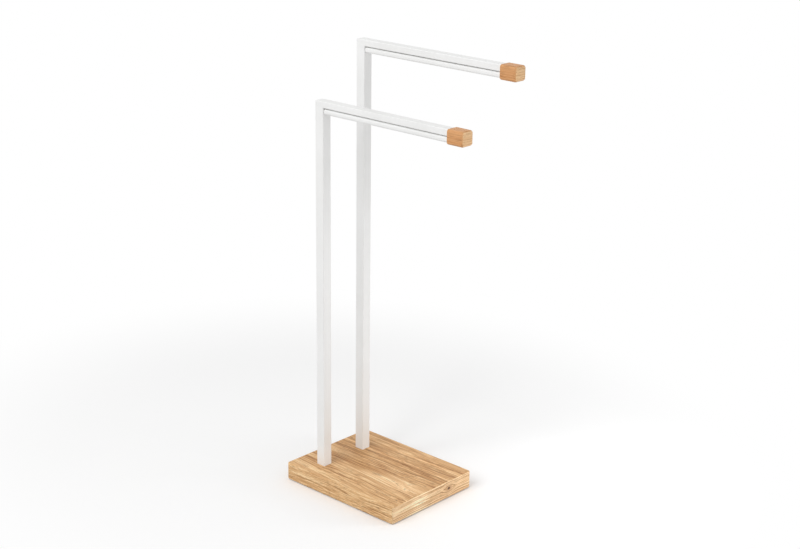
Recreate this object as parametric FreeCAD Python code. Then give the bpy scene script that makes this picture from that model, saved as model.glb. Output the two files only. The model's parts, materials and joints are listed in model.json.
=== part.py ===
import FreeCAD, Part
import os

# Freestanding towel stand: a low front frame and a tall rear frame, each an upright tube with a
# two-bar arm and a wooden end block, bolted from beneath to one wooden base board.
# Axes: +X is the way the arms point, +Y runs from the front frame to the rear one, +Z is up.
# Origin: on the floor, under the centre of the base board.  All sizes are in millimetres.

# ---- Driving dimensions: base board ----
BASE_LENGTH = 280.0             # along X
BASE_DEPTH = 220.0              # along Y
BASE_THICKNESS = 34.0
BASE_CORNER_RADIUS = 5.0        # the four vertical corners
BASE_EDGE_RADIUS = 2.0          # the rims of the top and the underside

# ---- Driving dimensions: anti-slip pads under the board ----
PAD_DIAMETER = 20.0
PAD_THICKNESS = 1.5
PAD_EDGE_RADIUS = 0.5
PAD_INSET = 20.0                # from the board's edges to a pad's centre

# ---- Driving dimensions: the two frames ----
FRONT_HEIGHT = 752.0            # floor to the top of the arm
REAR_HEIGHT = 850.0
FRONT_REACH = 354.0             # upright's left face to the end block's end face
REAR_REACH = 377.0
SIDE_INSET = 45.0               # board's left edge to the uprights' left faces
FRONT_INSET = 37.0              # board's front edge to the front upright
REAR_INSET = 57.0               # board's back edge to the rear upright

# ---- Driving dimensions: tubes ----
TUBE_SIZE = 20.0                # square upright, and the width of the arm
TUBE_WALL = 1.5
TUBE_EDGE_RADIUS = 1.5
BORE_EDGE_RADIUS = 0.6          # inside corners of every tube
ARM_HEIGHT = 12.0
ARM_WALL = 1.2
RAIL_GAP = 1.6                  # slit between the arm and the lower rail
RAIL_WIDTH = 18.4
RAIL_HEIGHT = 10.4
RAIL_WALL = 1.2
RAIL_EDGE_RADIUS = 4.0
RAIL_END_WALL = 4.0             # closed end of the lower rail, against the upright
RAIL_END_RADIUS = 3.0           # rim of that end

# ---- Driving dimensions: wooden end blocks and the plugs that hold them ----
BLOCK_LENGTH = 36.0
BLOCK_WIDTH = 28.0
BLOCK_RISE = 1.5                # block beyond the bars, above and below
BLOCK_EDGE_RADIUS = 5.0
BLOCK_BACK_RADIUS = 1.5         # rim of the face that meets the bars
BLOCK_END_WOOD = 14.0           # wood between the tongues' slots and the end face
PLUG_DEPTH = 20.0               # length of a plug inside its tube
TONGUE_SHOULDER = 2.0           # step from a plug's body down to its tongue

# ---- Driving dimensions: foot joint ----
SOCKET_DEPTH = 6.0              # the upright stands this deep in the board
FOOT_PLUG_LENGTH = 16.0
THREAD_ENGAGEMENT = 13.4        # bolt thread inside the foot plug
BOLT_DIAMETER = 8.0
HEAD_OVERHANG = 3.0             # bolt head beyond the shank, all round
HEAD_HEIGHT = 4.4
HEAD_DOME_RADIUS = 2.2
HEX_KEY_SIZE = 5.0              # across the flats of the bolt's socket
HEX_KEY_DEPTH = 2.6
HEAD_RECESS = 2.0               # bolt head above the board's underside
PLAIN_WASHER_RIM = 3.8
PLAIN_WASHER_THICKNESS = 1.6
SPRING_WASHER_RIM = 3.2
SPRING_WASHER_THICKNESS = 2.0
SPRING_WASHER_SLIT = 1.5
COUNTERBORE_MARGIN = 2.0        # counterbore beyond the plain washer, all round

# ---- Clearances, each on one side ----
SOCKET_CLEARANCE = 0.2          # upright in its socket
PLUG_CLEARANCE = 0.1            # plug in a tube
TONGUE_CLEARANCE = 0.15         # tongue in the end block
BOLT_HOLE_CLEARANCE = 0.5       # bolt shank in the board
WASHER_CLEARANCE = 0.2          # bolt shank in the washers
THREAD_CLEARANCE = 0.05         # bolt thread in the foot plug

# ---- Derived levels and places ----
board_bottom = PAD_THICKNESS
board_top = board_bottom + BASE_THICKNESS
upright_foot = board_top - SOCKET_DEPTH
upright_left = -BASE_LENGTH / 2 + SIDE_INSET
upright_right = upright_left + TUBE_SIZE
upright_x = upright_left + TUBE_SIZE / 2
front_y = -BASE_DEPTH / 2 + FRONT_INSET + TUBE_SIZE / 2
rear_y = BASE_DEPTH / 2 - REAR_INSET - TUBE_SIZE / 2
bars_height = ARM_HEIGHT + RAIL_GAP + RAIL_HEIGHT

washer_hole_radius = BOLT_DIAMETER / 2 + WASHER_CLEARANCE
plain_washer_radius = washer_hole_radius + PLAIN_WASHER_RIM
counterbore_radius = plain_washer_radius + COUNTERBORE_MARGIN
head_bottom = board_bottom + HEAD_RECESS
head_top = head_bottom + HEAD_HEIGHT
spring_washer_top = head_top + SPRING_WASHER_THICKNESS
counterbore_top = spring_washer_top + PLAIN_WASHER_THICKNESS
bolt_tip = upright_foot + THREAD_ENGAGEMENT

X_AXIS = FreeCAD.Vector(1, 0, 0)
Y_AXIS = FreeCAD.Vector(0, 1, 0)
Z_AXIS = FreeCAD.Vector(0, 0, 1)


# ---- Shapes that several pieces share ----
def box(low, high):
    """Box between two opposite corners, each given as (x, y, z)."""
    size = [high[i] - low[i] for i in range(3)]
    return Part.makeBox(*size, FreeCAD.Vector(*low))


def cylinder(radius, centre_x, centre_y, low_z, high_z):
    """Upright cylinder."""
    return Part.makeCylinder(radius, high_z - low_z, FreeCAD.Vector(centre_x, centre_y, low_z))


def edges_along(solid, axis):
    """Straight edges of a box that run along one axis."""
    return [edge for edge in solid.Edges if abs(edge.tangentAt(edge.FirstParameter).dot(axis)) > 0.999]


def edges_at(solid, axis, level):
    """Edges that lie wholly in the plane at a level along one axis."""
    return [
        edge
        for edge in solid.Edges
        if all(abs(vertex.Point.dot(axis) - level) < 1e-6 for vertex in edge.Vertexes)
    ]


def rounded_bar(low, high, axis, radius):
    """Box whose four edges along one axis are rounded."""
    bar = box(low, high)
    return bar.makeFillet(radius, edges_along(bar, axis))


def inset(low, high, margin, axis):
    """Corners of a box drawn in by a margin on the four sides beside one axis."""
    shift = (FreeCAD.Vector(1, 1, 1) - axis) * margin
    return tuple(FreeCAD.Vector(*low) + shift), tuple(FreeCAD.Vector(*high) - shift)


def tube(low, high, axis, radius, wall):
    """Rectangular tube along one axis, open at both ends."""
    bore = rounded_bar(*inset(low, high, wall, axis), axis, BORE_EDGE_RADIUS)
    return rounded_bar(low, high, axis, radius).cut(bore)


# ---- One frame: its upright, arm, lower rail, end block and plugs ----
class Frame:
    """Corners of the pieces of one inverted-L frame, from its height, its reach and its place."""

    def __init__(self, height, reach, centre_y):
        self.centre_y = centre_y
        self.top = height
        self.arm_bottom = height - ARM_HEIGHT
        self.rail_top = self.arm_bottom - RAIL_GAP
        self.rail_bottom = height - bars_height
        self.block_top = height + BLOCK_RISE
        self.block_bottom = self.rail_bottom - BLOCK_RISE
        self.block_end = upright_left + reach
        self.bars_end = self.block_end - BLOCK_LENGTH
        half_tube = TUBE_SIZE / 2
        half_rail = RAIL_WIDTH / 2
        self.upright_box = (
            (upright_left, centre_y - half_tube, upright_foot),
            (upright_right, centre_y + half_tube, self.top),
        )
        self.arm_box = (
            (upright_left, centre_y - half_tube, self.arm_bottom),
            (self.bars_end, centre_y + half_tube, self.top),
        )
        self.rail_box = (
            (upright_right, centre_y - half_rail, self.rail_bottom),
            (self.bars_end, centre_y + half_rail, self.rail_top),
        )

    def beyond_mitre(self, side):
        """Wedge on one side of the corner's mitre: side +1 is above it, side -1 is below it."""
        outer = FreeCAD.Vector(upright_left, self.centre_y - TUBE_SIZE, self.top)
        inner = FreeCAD.Vector(upright_right, self.centre_y - TUBE_SIZE, self.arm_bottom)
        along = inner - outer
        start = outer - along
        end = inner + along
        lift = Z_AXIS * (side * 3 * ARM_HEIGHT)
        outline = Part.makePolygon([start, end, end + lift, start + lift, start])
        return Part.Face(outline).extrude(Y_AXIS * (2 * TUBE_SIZE))

    def outer_corner(self):
        """What the rounding of the frame's top left corner takes off."""
        low_y = self.centre_y - TUBE_SIZE
        low = (upright_left, low_y, self.top - TUBE_EDGE_RADIUS)
        high = (upright_left + TUBE_EDGE_RADIUS, low_y + 2 * TUBE_SIZE, self.top)
        centre = FreeCAD.Vector(high[0], low_y, low[2])
        return box(low, high).cut(Part.makeCylinder(TUBE_EDGE_RADIUS, 2 * TUBE_SIZE, centre, Y_AXIS))

    def upright(self):
        """Square tube from its socket in the board to the mitre under the arm."""
        post = tube(*self.upright_box, Z_AXIS, TUBE_EDGE_RADIUS, TUBE_WALL)
        return post.cut(self.beyond_mitre(1)).cut(self.outer_corner())

    def arm(self):
        """Flat tube from the mitre to the end block."""
        bar = tube(*self.arm_box, X_AXIS, TUBE_EDGE_RADIUS, ARM_WALL)
        return bar.cut(self.beyond_mitre(-1)).cut(self.outer_corner())

    def lower_rail(self):
        """Slim round-edged tube under the arm, closed and rounded where it meets the upright."""
        bar = rounded_bar(*self.rail_box, X_AXIS, RAIL_EDGE_RADIUS)
        bar = bar.makeFillet(RAIL_END_RADIUS, edges_at(bar, X_AXIS, upright_right))
        low, high = inset(*self.rail_box, RAIL_WALL, X_AXIS)
        bore_start = (upright_right + RAIL_END_WALL, low[1], low[2])
        return bar.cut(rounded_bar(bore_start, high, X_AXIS, BORE_EDGE_RADIUS))

    def tongue(self, bar_box, wall, clearance):
        """Tongue of a plug in the end block, or its slot when the clearance is more than zero."""
        margin = wall + PLUG_CLEARANCE + TONGUE_SHOULDER - clearance
        low, high = inset(*bar_box, margin, X_AXIS)
        tip = self.block_end - BLOCK_END_WOOD
        return rounded_bar(
            (self.bars_end, low[1], low[2]), (tip + clearance, high[1], high[2]), X_AXIS, BORE_EDGE_RADIUS
        )

    def plug(self, bar_box, wall):
        """Plug in the end of a bar, with the tongue that carries the end block."""
        low, high = inset(*bar_box, wall + PLUG_CLEARANCE, X_AXIS)
        start = (self.bars_end - PLUG_DEPTH, low[1], low[2])
        body = rounded_bar(start, high, X_AXIS, BORE_EDGE_RADIUS)
        return body.fuse(self.tongue(bar_box, wall, 0.0)).removeSplitter()

    def arm_plug(self):
        """Plug in the end of the arm."""
        return self.plug(self.arm_box, ARM_WALL)

    def rail_plug(self):
        """Plug in the end of the lower rail."""
        return self.plug(self.rail_box, RAIL_WALL)

    def end_block(self):
        """Wooden block on the ends of both bars, a little taller and wider than they are."""
        block = box(
            (self.bars_end, self.centre_y - BLOCK_WIDTH / 2, self.block_bottom),
            (self.block_end, self.centre_y + BLOCK_WIDTH / 2, self.block_top),
        )
        rounded = edges_along(block, X_AXIS) + edges_at(block, X_AXIS, self.block_end)
        block = block.makeFillet(BLOCK_EDGE_RADIUS, rounded)
        block = block.makeFillet(BLOCK_BACK_RADIUS, edges_at(block, X_AXIS, self.bars_end))
        for bar_box, wall in ((self.arm_box, ARM_WALL), (self.rail_box, RAIL_WALL)):
            block = block.cut(self.tongue(bar_box, wall, TONGUE_CLEARANCE))
        return block

    def foot_plug(self):
        """Threaded plug in the foot of the upright."""
        low, high = inset(*self.upright_box, TUBE_WALL + PLUG_CLEARANCE, Z_AXIS)
        top = upright_foot + FOOT_PLUG_LENGTH
        body = rounded_bar(low, (high[0], high[1], top), Z_AXIS, BORE_EDGE_RADIUS)
        hole_radius = BOLT_DIAMETER / 2 + THREAD_CLEARANCE
        return body.cut(cylinder(hole_radius, upright_x, self.centre_y, upright_foot, top))

    def foot_bolt(self):
        """Button-head bolt that pulls the upright down into its socket."""
        head_radius = BOLT_DIAMETER / 2 + HEAD_OVERHANG
        head = cylinder(head_radius, upright_x, self.centre_y, head_bottom, head_top)
        head = head.makeFillet(HEAD_DOME_RADIUS, edges_at(head, Z_AXIS, head_bottom))
        shank = cylinder(BOLT_DIAMETER / 2, upright_x, self.centre_y, head_top, bolt_tip)
        return head.fuse(shank).cut(self.hex_socket())

    def hex_socket(self):
        """Socket for the key in the bolt's head."""
        centre = FreeCAD.Vector(upright_x, self.centre_y, head_bottom)
        corner = X_AXIS * (HEX_KEY_SIZE / 3 ** 0.5)
        turns = [FreeCAD.Rotation(Z_AXIS, 60 * step) for step in range(7)]
        outline = Part.makePolygon([centre + turn.multVec(corner) for turn in turns])
        return Part.Face(outline).extrude(Z_AXIS * HEX_KEY_DEPTH)

    def plain_washer(self):
        """Flat washer against the roof of the counterbore."""
        spot = (upright_x, self.centre_y, spring_washer_top, counterbore_top)
        return cylinder(plain_washer_radius, *spot).cut(cylinder(washer_hole_radius, *spot))

    def spring_washer(self):
        """Split washer between the bolt's head and the flat washer."""
        spot = (upright_x, self.centre_y, head_top, spring_washer_top)
        outer_radius = washer_hole_radius + SPRING_WASHER_RIM
        ring = cylinder(outer_radius, *spot).cut(cylinder(washer_hole_radius, *spot))
        slit = box(
            (upright_x, self.centre_y - SPRING_WASHER_SLIT / 2, head_top),
            (upright_x + outer_radius, self.centre_y + SPRING_WASHER_SLIT / 2, spring_washer_top),
        )
        return ring.cut(slit)

    def board_cut(self):
        """Socket, bolt hole and counterbore that this frame needs in the base board."""
        low, high = inset(*self.upright_box, -SOCKET_CLEARANCE, Z_AXIS)
        socket = rounded_bar(low, high, Z_AXIS, TUBE_EDGE_RADIUS + SOCKET_CLEARANCE)
        hole_radius = BOLT_DIAMETER / 2 + BOLT_HOLE_CLEARANCE
        hole = cylinder(hole_radius, upright_x, self.centre_y, board_bottom, board_top)
        bore = cylinder(counterbore_radius, upright_x, self.centre_y, board_bottom, counterbore_top)
        return socket.fuse([hole, bore])


# ---- Base board and pads ----
def base_board(frames):
    """Glued-up wooden board with round corners, cut for both frames' foot joints."""
    board = box(
        (-BASE_LENGTH / 2, -BASE_DEPTH / 2, board_bottom),
        (BASE_LENGTH / 2, BASE_DEPTH / 2, board_top),
    )
    board = board.makeFillet(BASE_CORNER_RADIUS, edges_along(board, Z_AXIS))
    rims = edges_at(board, Z_AXIS, board_bottom) + edges_at(board, Z_AXIS, board_top)
    board = board.makeFillet(BASE_EDGE_RADIUS, rims)
    for frame in frames:
        board = board.cut(frame.board_cut())
    return board


def pad(side_x, side_y):
    """Round anti-slip pad near one corner; each side is -1 or +1."""
    centre_x = side_x * (BASE_LENGTH / 2 - PAD_INSET)
    centre_y = side_y * (BASE_DEPTH / 2 - PAD_INSET)
    disc = cylinder(PAD_DIAMETER / 2, centre_x, centre_y, 0.0, PAD_THICKNESS)
    return disc.makeFillet(PAD_EDGE_RADIUS, edges_at(disc, Z_AXIS, 0.0))


# ---- Every node, by name ----
def all_nodes():
    """Shape of each node of the stand."""
    frames = {
        "front": Frame(FRONT_HEIGHT, FRONT_REACH, front_y),
        "rear": Frame(REAR_HEIGHT, REAR_REACH, rear_y),
    }
    nodes = {"base_board": base_board(frames.values())}
    for name, frame in frames.items():
        nodes[f"{name}_upright"] = frame.upright()
        nodes[f"{name}_arm"] = frame.arm()
        nodes[f"{name}_lower_rail"] = frame.lower_rail()
        nodes[f"{name}_end_block"] = frame.end_block()
        nodes[f"{name}_arm_plug"] = frame.arm_plug()
        nodes[f"{name}_rail_plug"] = frame.rail_plug()
        nodes[f"{name}_foot_plug"] = frame.foot_plug()
    nodes["foot_bolts"] = Part.makeCompound([frame.foot_bolt() for frame in frames.values()])
    nodes["plain_washers"] = Part.makeCompound([frame.plain_washer() for frame in frames.values()])
    nodes["spring_washers"] = Part.makeCompound([frame.spring_washer() for frame in frames.values()])
    for front_or_rear, side_y in (("front", -1), ("rear", 1)):
        for left_or_right, side_x in (("left", -1), ("right", 1)):
            nodes[f"pad_{front_or_rear}_{left_or_right}"] = pad(side_x, side_y)
    return nodes


os.makedirs("parts", exist_ok=True)
for node, shape in all_nodes().items():
    shape.exportStep(f"parts/{node}.step")
    print(node, len(shape.Solids), "solid(s)", round(shape.Volume), "mm3", "valid", shape.isValid())
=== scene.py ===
import json
import math

import bmesh
import bpy
from mathutils import Matrix, Vector

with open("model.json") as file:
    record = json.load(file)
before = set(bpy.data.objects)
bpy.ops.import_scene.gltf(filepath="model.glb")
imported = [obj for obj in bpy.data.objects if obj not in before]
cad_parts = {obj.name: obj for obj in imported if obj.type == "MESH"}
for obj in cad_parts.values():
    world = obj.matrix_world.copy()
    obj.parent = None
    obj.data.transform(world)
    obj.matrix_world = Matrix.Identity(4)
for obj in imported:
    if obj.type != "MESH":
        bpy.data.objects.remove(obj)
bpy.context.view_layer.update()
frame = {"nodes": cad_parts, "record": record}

# ---- Camera: the photograph's view ----
CAMERA_PLACE = Vector((1.934, -2.042, 1.374))
CAMERA_HEADING = math.radians(132.69)      # from +X towards +Y
CAMERA_PITCH = math.radians(18.61)         # below the horizon
CAMERA_ROLL = math.radians(-0.69)
IMAGE_WIDTH_PIXELS = 800
FOCAL_LENGTH_PIXELS = 1601
SENSOR_WIDTH_MM = 36.0

# ---- Light: an even sky, a large soft box high in front and a small one low at the back right ----
WHITE = (1.0, 1.0, 1.0)
SKY_STRENGTH = 0.67
KEY_PLACE = (-0.2, -4.5, 4.3)
KEY_AIM = (0.0, 0.0, 0.35)
KEY_SIZE = 3.8
KEY_POWER = 159.0
SIDE_PLACE = (0.66, 0.46, 0.15)
SIDE_AIM = (0.0, 0.0, 0.05)
SIDE_SIZE = 0.28
SIDE_POWER = 2.05

# ---- Floor ----
FLOOR_RADIUS = 12.0
FLOOR_SIDES = 96
FLOOR_COLOR = (0.99, 0.99, 0.99)           # as the camera sees it near the stand
BOUNCE_COLOR = (0.66, 0.66, 0.66)          # as it lights the stand
FADE_CENTRE = (-0.25, 0.0, 0.0)            # left of the stand, so that the side lamp's edge fades out
FADE_REACH = (0.40, 0.95)                  # shaded within the first distance, plain white from the second

# ---- Wood in general ----
END_FACING = 0.70                          # normal's X from which a face has end grain
END_PAINTED_LIGHT_FACING = (0.55, 0.85)             # normal's X over which the painted light on the end faces comes in
END_GRAIN_SHIFT = 3.0                      # moves the ends to another part of the noise
SIDE_HEIGHT_STRETCH = 1.6
END_HEIGHT_STRETCH = 2.2
END_WIDTH_STRETCH = 1.6
SLANT_START, SLANT_END = -0.090, 0.020     # Y between which the grain's slant dies out
LEAN_UP = 0.6                              # how much of the slant also tips the grain along X
BEND_SCALE = (6.0, 16.0, 16.0)             # slow bends along, across and up
BEND_ACROSS = 0.007
BEND_UP = 0.014
YEARS_ACROSS = 160.0                       # year lines per metre
YEARS_UP = 120.0
YEARS_WAVER = 4.5                          # how many years a line wanders
FIBRE_LAYERS = {                           # scale along the grain, across it, shift, detail, roughness
    "year waver": (1.3, 34.0, 37.0, 2.0, 0.55),
    "late growth": (3.6, 75.0, 51.0, 3.0, 0.55),
    "bands": (1.2, 50.0, 3.0, 3.0, 0.55),
    "streaks": (2.4, 230.0, 11.0, 3.0, 0.60),
    "fibres": (9.0, 620.0, 23.0, 3.0, 0.60),
    "pores": (40.0, 900.0, 63.0, 1.0, 0.55),
    "pore patches": (4.0, 90.0, 71.0, 3.0, 0.55),
}
BAND_TONE, STREAK_TONE, FIBRE_TONE, LATE_TONE = 0.16, 0.36, 0.25, 0.44
FIBRE_HEIGHT, LATE_HEIGHT, PORE_HEIGHT, KNOT_HEIGHT = 0.5, -0.4, -0.9, -1.2
RELIEF_STRENGTH, RELIEF_DISTANCE = 0.35, 0.00045
WOOD_SPECULAR = 0.30
PORE_COLOR = (0.15, 0.062, 0.022)
PORE_COVER = 0.60
PORE_ROUGHNESS = 0.5

# ---- Wood of the base board ----
BOARD_HALF_WIDTH = 0.110
BOARD_RIGHT_END = 0.140
BOARD_GRAIN_SLANT = 0.10
STAVE_WANDER = 0.006
STAVE_TONE_LOST_AT_END = 0.75
STAVE_TONES = [                            # place from the front edge (0) to the back edge (1), tone
    (0.00, (1.07, 1.12, 1.16)),            # pale front edge
    (0.02, (1.04, 1.05, 1.04)),            # front stave
    (0.20, (1.04, 1.05, 1.04)),
    (0.24, (0.96, 0.95, 0.93)),            # middle staves
    (0.42, (1.00, 1.00, 1.00)),
    (0.50, (0.97, 0.95, 0.92)),
    (0.590, (0.99, 0.97, 0.94)),
    (0.605, (0.66, 0.60, 0.50)),           # first dark seam
    (0.618, (0.94, 0.90, 0.84)),
    (0.672, (0.92, 0.87, 0.80)),
    (0.690, (0.68, 0.60, 0.50)),           # second dark seam
    (0.703, (0.96, 0.94, 0.92)),
    (0.722, (1.22, 1.24, 1.26)),           # pale streak behind it
    (0.738, (0.94, 0.91, 0.87)),
    (0.805, (0.86, 0.82, 0.77)),           # darker band
    (0.850, (1.16, 1.18, 1.20)),           # second pale streak
    (0.885, (1.00, 0.98, 0.95)),           # back stave
    (1.00, (0.97, 0.95, 0.92)),
]
BOARD_CLOUDS = (                           # centre (X, Y), reach (X, Y), tone
    ((-0.036, -0.017), (0.080, 0.019), (0.79, 0.70, 0.58)),
    ((0.082, -0.036), (0.095, 0.027), (1.25, 1.34, 1.48)),
)
CLOUD_WANDER = 0.8

# ---- Knot in the board's right end ----
KNOT_PLACE = (BOARD_RIGHT_END, 0.047, 0.0205)
KNOT_SIZE = 0.0046
KNOT_SHAPE = (0.6, 0.7, 1.0)               # below 1 stretches the knot along that axis
KNOT_PUSH = 0.016                          # how far the grain bends round it
KNOT_PUSH_TURN = 0.003                     # height over which the push changes sides
KNOT_RAGGEDNESS = 0.0040
KNOT_HALO_COLOR = (0.42, 0.20, 0.085)
KNOT_CORE_COLOR = (0.11, 0.045, 0.018)


# ---- Node helpers ----
class Nodes:
    """Node tree of a material or of the world, with short calls for the nodes that they share."""

    def __init__(self, owner):
        owner.use_nodes = True
        self.tree = owner.node_tree
        self.tree.nodes.clear()

    def add(self, kind, **settings):
        node = self.tree.nodes.new(kind)
        for key, value in settings.items():
            setattr(node, key, value)
        return node

    def link(self, source, target):
        self.tree.links.new(source, target)

    def feed(self, socket, value):
        """Links a socket to another node's output, or sets it to a plain value."""
        if isinstance(value, bpy.types.NodeSocket):
            self.link(value, socket)
        else:
            socket.default_value = value

    def place(self):
        return self.add("ShaderNodeTexCoord").outputs["Object"]

    def math(self, operation, a, b=0.0, c=0.0):
        node = self.add("ShaderNodeMath", operation=operation)
        for socket, value in zip(node.inputs, (a, b, c)):
            self.feed(socket, value)
        return node.outputs[0]

    def mix_value(self, factor, a, b):
        node = self.add("ShaderNodeMix", data_type="FLOAT")
        for socket, value in zip(node.inputs[:1] + node.inputs[2:4], (factor, a, b)):
            self.feed(socket, value)
        return node.outputs[0]

    def length(self, vector):
        node = self.add("ShaderNodeVectorMath", operation="LENGTH")
        self.link(vector, node.inputs[0])
        return node.outputs["Value"]

    def vector(self, operation, a, b):
        node = self.add("ShaderNodeVectorMath", operation=operation)
        self.feed(node.inputs[0], a)
        self.feed(node.inputs[1], b)
        return node.outputs[0]

    def split(self, vector):
        node = self.add("ShaderNodeSeparateXYZ")
        self.link(vector, node.inputs[0])
        return node.outputs

    def join(self, x, y, z):
        node = self.add("ShaderNodeCombineXYZ")
        for socket, value in zip(node.inputs, (x, y, z)):
            self.feed(socket, value)
        return node.outputs[0]

    def noise(self, vector, scale, detail=3.0, roughness=0.5):
        node = self.add("ShaderNodeTexNoise")
        self.link(vector, node.inputs["Vector"])
        node.inputs["Scale"].default_value = scale
        node.inputs["Detail"].default_value = detail
        node.inputs["Roughness"].default_value = roughness
        return node.outputs["Fac"]

    def spread(self, value, low, high, to_low=0.0, to_high=1.0, smooth=False):
        """Maps a range of a value to another range, and holds it at the ends."""
        interpolation = "SMOOTHSTEP" if smooth else "LINEAR"
        node = self.add("ShaderNodeMapRange", interpolation_type=interpolation)
        for socket, number in zip(node.inputs, (value, low, high, to_low, to_high)):
            self.feed(socket, number)
        return node.outputs[0]

    def ramp(self, value, stops):
        node = self.add("ShaderNodeValToRGB")
        self.link(value, node.inputs[0])
        elements = node.color_ramp.elements
        for _ in stops[2:]:
            elements.new(0.5)
        for element, (position, color) in zip(elements, stops):
            element.position = position
            element.color = (*color, 1.0)
        return node.outputs[0]

    def mix(self, factor, a, b, blend="MIX"):
        """Mixes two colours; inputs 6 and 7 are the node's colour pair."""
        node = self.add("ShaderNodeMix", data_type="RGBA", blend_type=blend, clamp_result=True)
        self.feed(node.inputs["Factor"], factor)
        for socket, value in ((node.inputs[6], a), (node.inputs[7], b)):
            self.feed(socket, value if isinstance(value, bpy.types.NodeSocket) else (*value, 1.0))
        return node.outputs[2]

    def tinted(self, factor, color, tone):
        """Multiplies a colour by a tone, as far as the factor goes."""
        return self.mix(factor, color, self.mix(1.0, color, tone, "MULTIPLY"))

    def bump(self, height, strength, distance):
        node = self.add("ShaderNodeBump")
        node.inputs["Strength"].default_value = strength
        node.inputs["Distance"].default_value = distance
        self.link(height, node.inputs["Height"])
        return node.outputs[0]

    def even(self, kind, color):
        """Diffuse, emission or background node of one colour."""
        node = self.add(kind)
        node.inputs["Color"].default_value = (*color, 1.0)
        return node

    def mix_shaders(self, factor, a, b):
        node = self.add("ShaderNodeMixShader")
        for socket, source in zip(node.inputs, (factor, a, b)):
            self.link(source, socket)
        return node.outputs[0]

    def seen(self):
        """1 for the camera, reflections and glass, and 0 for the light that surfaces scatter."""
        path = self.add("ShaderNodeLightPath").outputs
        mirrored = self.math("MAXIMUM", path["Is Glossy Ray"], path["Is Transmission Ray"])
        return self.math("MAXIMUM", path["Is Camera Ray"], mirrored)


class Shader(Nodes):
    """Node tree of one material."""

    def __init__(self, name):
        self.material = bpy.data.materials.new(name)
        super().__init__(self.material)
        self.output = self.add("ShaderNodeOutputMaterial")

    def surface(self, color, roughness, normal, metallic=0.0, specular=0.5):
        node = self.add("ShaderNodeBsdfPrincipled")
        self.feed(node.inputs["Base Color"], color)
        self.feed(node.inputs["Roughness"], roughness)
        self.feed(node.inputs["Normal"], normal)
        node.inputs["Metallic"].default_value = metallic
        node.inputs["Specular IOR Level"].default_value = specular
        self.link(node.outputs[0], self.output.inputs[0])
        return self.material


# ---- Wood ----
def grain_axes(s, place, at_end, lean):
    """Distances along the grain, across it and up; on the two ends the grain runs across the board."""
    x, y, z = s.split(place)
    leaning = s.math("MULTIPLY_ADD", x, -LEAN_UP * lean, s.math("MULTIPLY", z, SIDE_HEIGHT_STRETCH))
    along = s.mix_value(at_end, x, s.math("MULTIPLY", y, END_WIDTH_STRETCH))
    across = s.mix_value(at_end, y, s.math("ADD", x, END_GRAIN_SHIFT))
    up = s.mix_value(at_end, leaning, s.math("MULTIPLY", z, END_HEIGHT_STRETCH))
    # towards the front edge the grain runs at a slight angle
    angle = s.spread(y, SLANT_START, SLANT_END, lean, 0.0)
    slant = s.math("MULTIPLY", angle, s.mix_value(at_end, x, 0.0))
    return along, s.math("ADD", across, slant), up


def bend_round_knot(s, place, up):
    """Distance from the knot, and the grain's height with its lines pushed up or down round it."""
    offset = s.vector("SUBTRACT", place, KNOT_PLACE)
    distance = s.length(s.vector("MULTIPLY", offset, KNOT_SHAPE))
    push = s.spread(distance, KNOT_SIZE * 0.3, KNOT_SIZE * 4.0, KNOT_PUSH, 0.0, smooth=True)
    side = s.spread(s.split(offset)[2], -KNOT_PUSH_TURN, KNOT_PUSH_TURN, 1.0, -1.0, smooth=True)
    return distance, s.math("MULTIPLY_ADD", push, side, up)


def paint_knot(s, place, color, distance):
    """Colour with the knot's halo and core, and the core's share of each point."""
    ragged = s.math("MULTIPLY_ADD", s.noise(place, 330.0), KNOT_RAGGEDNESS, distance)
    core = s.spread(ragged, KNOT_SIZE * 0.7, KNOT_SIZE * 1.25, 1.0, 0.0, smooth=True)
    halo = s.spread(ragged, KNOT_SIZE * 0.9, KNOT_SIZE * 3.0, 0.55, 0.0, smooth=True)
    color = s.mix(halo, color, KNOT_HALO_COLOR)
    return s.mix(core, color, KNOT_CORE_COLOR), core


def grain_figure(s, along, across, up, seed):
    """Tone of the wood, its late growth, its fibres and its pores, each about 0 to 1."""
    grain = s.join(along, across, up)

    def fibre(layer):
        """Noise drawn out along the grain."""
        length_scale, width_scale, shift, detail, roughness = FIBRE_LAYERS[layer]
        stretched = s.vector("MULTIPLY", grain, (length_scale, width_scale, width_scale))
        return s.noise(s.vector("ADD", stretched, (seed + shift,) * 3), 1.0, detail, roughness)

    # a year's growth darkens slowly and ends in a sharp line, which comes and goes along the board
    years = s.math("MULTIPLY_ADD", across, YEARS_ACROSS, s.math("MULTIPLY", up, YEARS_UP))
    season = s.math("FRACT", s.math("MULTIPLY_ADD", fibre("year waver"), YEARS_WAVER, years))
    late = s.spread(season, 0.35, 0.86, smooth=True)
    late = s.math("MULTIPLY", late, s.spread(season, 0.88, 1.0, 1.0, 0.0))
    late = s.math("MULTIPLY", late, s.spread(fibre("late growth"), 0.40, 0.62))
    bands = s.spread(fibre("bands"), 0.30, 0.70)
    streaks = s.spread(fibre("streaks"), 0.34, 0.66)
    fibres = s.spread(fibre("fibres"), 0.30, 0.70)
    # dark pores, thick in some patches and thin in others
    pores = s.spread(fibre("pores"), 0.55, 0.66)
    pores = s.math("MULTIPLY", pores, s.spread(fibre("pore patches"), 0.35, 0.60, 0.15, 1.0))
    tone = s.math("MULTIPLY_ADD", bands, BAND_TONE, s.math("MULTIPLY", streaks, STREAK_TONE))
    tone = s.math("MULTIPLY_ADD", fibres, FIBRE_TONE, s.math("MULTIPLY_ADD", late, LATE_TONE, tone))
    return tone, late, fibres, pores


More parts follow.
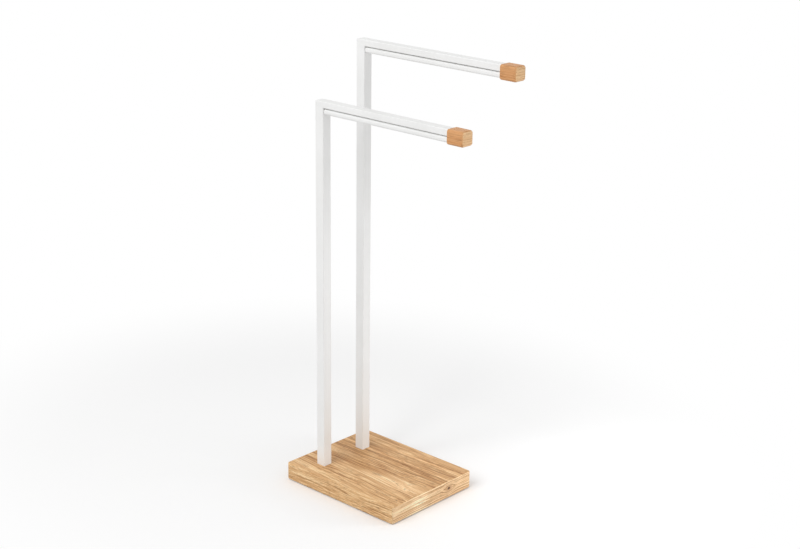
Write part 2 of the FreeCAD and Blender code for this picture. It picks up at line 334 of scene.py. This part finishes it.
def wood(name, seed, tones, gloss, end_painted_light, lean=0.0, tint=None, knot=False):
    """Oiled wood in the solid, with its grain along X."""
    s = Shader(name)
    place = s.place()
    facing = s.math("ABSOLUTE", s.split(s.add("ShaderNodeNewGeometry").outputs["Normal"])[0])
    at_end = s.math("GREATER_THAN", facing, END_FACING)
    near_end = s.spread(facing, *END_PAINTED_LIGHT_FACING)
    along, across, up = grain_axes(s, place, at_end, lean)
    slow = s.vector("MULTIPLY", s.join(along, across, up), BEND_SCALE)
    slow = s.vector("ADD", slow, (seed, seed, seed))
    wander = s.math("SUBTRACT", s.noise(slow, 1.0, detail=2.0), 0.5)
    across = s.math("MULTIPLY_ADD", wander, BEND_ACROSS, across)
    up = s.math("MULTIPLY_ADD", wander, BEND_UP, up)
    if knot:
        knot_distance, up = bend_round_knot(s, place, up)
    tone, late, fibres, pores = grain_figure(s, along, across, up, seed)
    color = s.ramp(tone, tones)
    if tint is not None:
        color = tint(s, color, place, wander, near_end)
    # painted light: the end faces are lightened as if lit more strongly than the rest
    color = s.tinted(near_end, color, end_painted_light)
    color = s.mix(s.math("MULTIPLY", pores, PORE_COVER), color, PORE_COLOR)
    # late growth and pores lie deeper than the fibres
    relief = s.math("MULTIPLY_ADD", late, LATE_HEIGHT, s.math("MULTIPLY", fibres, FIBRE_HEIGHT))
    relief = s.math("MULTIPLY_ADD", pores, PORE_HEIGHT, relief)
    if knot:
        color, core = paint_knot(s, place, color, knot_distance)
        relief = s.math("MULTIPLY_ADD", core, KNOT_HEIGHT, relief)
    roughness = s.spread(s.math("MULTIPLY_ADD", pores, PORE_ROUGHNESS, tone), 0.1, 1.1, *gloss)
    normal = s.bump(relief, RELIEF_STRENGTH, RELIEF_DISTANCE)
    return s.surface(color, roughness, normal, specular=WOOD_SPECULAR)


def stave_tint(s, color, place, wander, near_end):
    """Tones of the glued staves across the board, two long dark seams and two clouds of tone."""
    wavy = s.math("MULTIPLY_ADD", wander, STAVE_WANDER, s.split(place)[1])
    tones = s.ramp(s.spread(wavy, -BOARD_HALF_WIDTH, BOARD_HALF_WIDTH), STAVE_TONES)
    color = s.tinted(s.math("MULTIPLY_ADD", near_end, -STAVE_TONE_LOST_AT_END, 1.0), color, tones)
    for (cloud_x, cloud_y), (reach_x, reach_y), tone in BOARD_CLOUDS:
        offset = s.vector("SUBTRACT", place, (cloud_x, cloud_y, 0.0))
        radius = s.length(s.vector("MULTIPLY", offset, (1.0 / reach_x, 1.0 / reach_y, 0.0)))
        radius = s.math("MULTIPLY_ADD", wander, CLOUD_WANDER, radius)
        color = s.tinted(s.spread(radius, 0.2, 1.3, 1.0, 0.0, smooth=True), color, tone)
    return color


def base_wood():
    """Edge-glued board with parallel grain and one small knot in its right end."""
    tones = [
        (0.12, (0.95, 0.675, 0.378)),
        (0.40, (0.71, 0.424, 0.199)),
        (0.68, (0.52, 0.268, 0.107)),
        (1.00, (0.23, 0.094, 0.030)),
    ]
    # painted light on the board's end faces
    end_painted_light = (1.20, 1.35, 1.60)
    return wood(
        "base_wood", 1.7, tones, (0.44, 0.62), end_painted_light, lean=BOARD_GRAIN_SLANT, tint=stave_tint, knot=True
    )


def block_wood():
    """Small solid blocks of a redder cut of the same wood."""
    tones = [
        (0.12, (0.73, 0.395, 0.177)),
        (0.45, (0.64, 0.315, 0.129)),
        (0.72, (0.56, 0.255, 0.095)),
        (1.00, (0.41, 0.170, 0.057)),
    ]
    # the last colour is painted light on the blocks' end faces
    return wood("end_block_wood", 9.2, tones, (0.42, 0.58), (1.45, 1.85, 2.35))


# ---- Other finishes ----
def powder_coat():
    """Satin white powder coat with a fine orange peel."""
    s = Shader("white_powder_coat")
    place = s.place()
    peel = s.noise(place, 620.0, detail=2.0)
    cloud = s.noise(place, 14.0, detail=2.0)
    color = s.ramp(cloud, [(0.30, (0.825, 0.825, 0.815)), (0.70, (0.865, 0.865, 0.86))])
    unevenness = s.math("ADD", cloud, s.math("MULTIPLY", peel, 0.5))
    return s.surface(color, s.spread(unevenness, 0.45, 1.05, 0.33, 0.45), s.bump(peel, 0.22, 0.0004))


def zinc_plate():
    """Bright zinc plating with faint passivation clouds and fine scratches."""
    s = Shader("zinc_plated_steel")
    place = s.place()
    cloud = s.noise(place, 160.0)
    scratch = s.noise(s.vector("MULTIPLY", place, (900.0, 5200.0, 900.0)), 1.0, detail=2.0)
    stops = [(0.30, (0.56, 0.56, 0.58)), (0.55, (0.66, 0.66, 0.65)), (0.75, (0.68, 0.655, 0.60))]
    roughness = s.spread(s.math("ADD", cloud, scratch), 0.7, 1.3, 0.24, 0.44)
    return s.surface(s.ramp(cloud, stops), roughness, s.bump(scratch, 0.12, 0.0002), metallic=1.0)


def black_nylon():
    """Moulded black nylon with a fine eroded grain."""
    s = Shader("black_nylon")
    place = s.place()
    grain = s.noise(place, 1900.0)
    color = s.ramp(s.noise(place, 90.0), [(0.3, (0.022, 0.022, 0.023)), (0.7, (0.040, 0.040, 0.041))])
    return s.surface(color, s.spread(grain, 0.3, 0.7, 0.44, 0.60), s.bump(grain, 0.35, 0.0002))


def rubber():
    """Matte black rubber, with painted shade in its pits."""
    s = Shader("pad_rubber")
    grain = s.noise(s.place(), 1300.0, detail=4.0)
    # painted shade: darker in the pits of the bump's grain and paler on its raised parts
    color = s.ramp(grain, [(0.35, (0.030, 0.030, 0.030)), (0.75, (0.085, 0.083, 0.080))])
    roughness = s.spread(grain, 0.3, 0.7, 0.72, 0.92)
    return s.surface(color, roughness, s.bump(grain, 0.5, 0.0003), specular=0.3)


def dress_nodes():
    """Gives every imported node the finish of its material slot."""
    finishes = {
        "base_wood": base_wood(),
        "end_block_wood": block_wood(),
        "white_powder_coat": powder_coat(),
        "zinc_plated_steel": zinc_plate(),
        "black_nylon": black_nylon(),
        "pad_rubber": rubber(),
    }
    for part in frame["record"]["subparts"]:
        data = frame["nodes"][part["node"]].data
        data.materials.clear()
        data.materials.append(finishes[part["material_slot"]])


# ---- Floor, world and lamps ----
def floor_material():
    """Pale floor that keeps the shadow near the stand and turns plain white further out."""
    s = Shader("floor")
    distance = s.length(s.vector("SUBTRACT", s.place(), FADE_CENTRE))
    away = s.spread(distance, *FADE_REACH, smooth=True)
    pale = s.even("ShaderNodeBsdfDiffuse", FLOOR_COLOR)
    white = s.even("ShaderNodeEmission", WHITE)
    bounce = s.even("ShaderNodeBsdfDiffuse", BOUNCE_COLOR)
    shown = s.mix_shaders(away, pale.outputs[0], white.outputs[0])
    s.link(s.mix_shaders(s.seen(), bounce.outputs[0], shown), s.output.inputs[0])
    return s.material


def make_floor():
    """Large flat disc under the stand."""
    mesh = bpy.data.meshes.new("floor")
    bm = bmesh.new()
    bmesh.ops.create_circle(bm, cap_ends=True, segments=FLOOR_SIDES, radius=FLOOR_RADIUS)
    bm.to_mesh(mesh)
    bm.free()
    mesh.materials.append(floor_material())
    floor = bpy.data.objects.new("floor", mesh)
    bpy.context.scene.collection.objects.link(floor)


def make_world():
    """Even soft sky; the camera and reflections see plain white."""
    world = bpy.data.worlds.new("studio")
    w = Nodes(world)
    sky = w.even("ShaderNodeBackground", WHITE)
    sky.inputs["Strength"].default_value = SKY_STRENGTH
    white = w.even("ShaderNodeBackground", WHITE)
    output = w.add("ShaderNodeOutputWorld")
    w.link(w.mix_shaders(w.seen(), sky.outputs[0], white.outputs[0]), output.inputs[0])
    bpy.context.scene.world = world


def soft_lamp(name, place, aim, size, power):
    """Square soft box that points at a place on the stand."""
    data = bpy.data.lights.new(name, "AREA")
    data.size = size
    data.energy = power
    lamp = bpy.data.objects.new(name, data)
    turn = (Vector(aim) - Vector(place)).to_track_quat("-Z", "Y").to_matrix().to_4x4()
    lamp.matrix_world = Matrix.Translation(place) @ turn
    lamp.visible_camera = False
    bpy.context.scene.collection.objects.link(lamp)


def make_camera():
    """Camera at the photograph's place, without shift or depth of field."""
    level = Vector((math.cos(CAMERA_HEADING), math.sin(CAMERA_HEADING), 0))
    forward = level * math.cos(CAMERA_PITCH) - Vector((0, 0, math.sin(CAMERA_PITCH)))
    right = forward.cross(Vector((0, 0, 1))).normalized()
    up = right.cross(forward)
    turn = Matrix.Rotation(CAMERA_ROLL, 3, forward)
    axes = Matrix((turn @ right, turn @ up, -forward)).transposed().to_4x4()
    data = bpy.data.cameras.new("camera")
    data.sensor_width = SENSOR_WIDTH_MM
    data.lens = SENSOR_WIDTH_MM * FOCAL_LENGTH_PIXELS / IMAGE_WIDTH_PIXELS
    camera = bpy.data.objects.new("camera", data)
    camera.matrix_world = Matrix.Translation(CAMERA_PLACE) @ axes
    bpy.context.scene.collection.objects.link(camera)
    bpy.context.scene.camera = camera


dress_nodes()
make_floor()
make_world()
soft_lamp("key_softbox", KEY_PLACE, KEY_AIM, KEY_SIZE, KEY_POWER)
soft_lamp("side_softbox", SIDE_PLACE, SIDE_AIM, SIDE_SIZE, SIDE_POWER)
make_camera()
bpy.context.scene.view_settings.view_transform = "Standard"
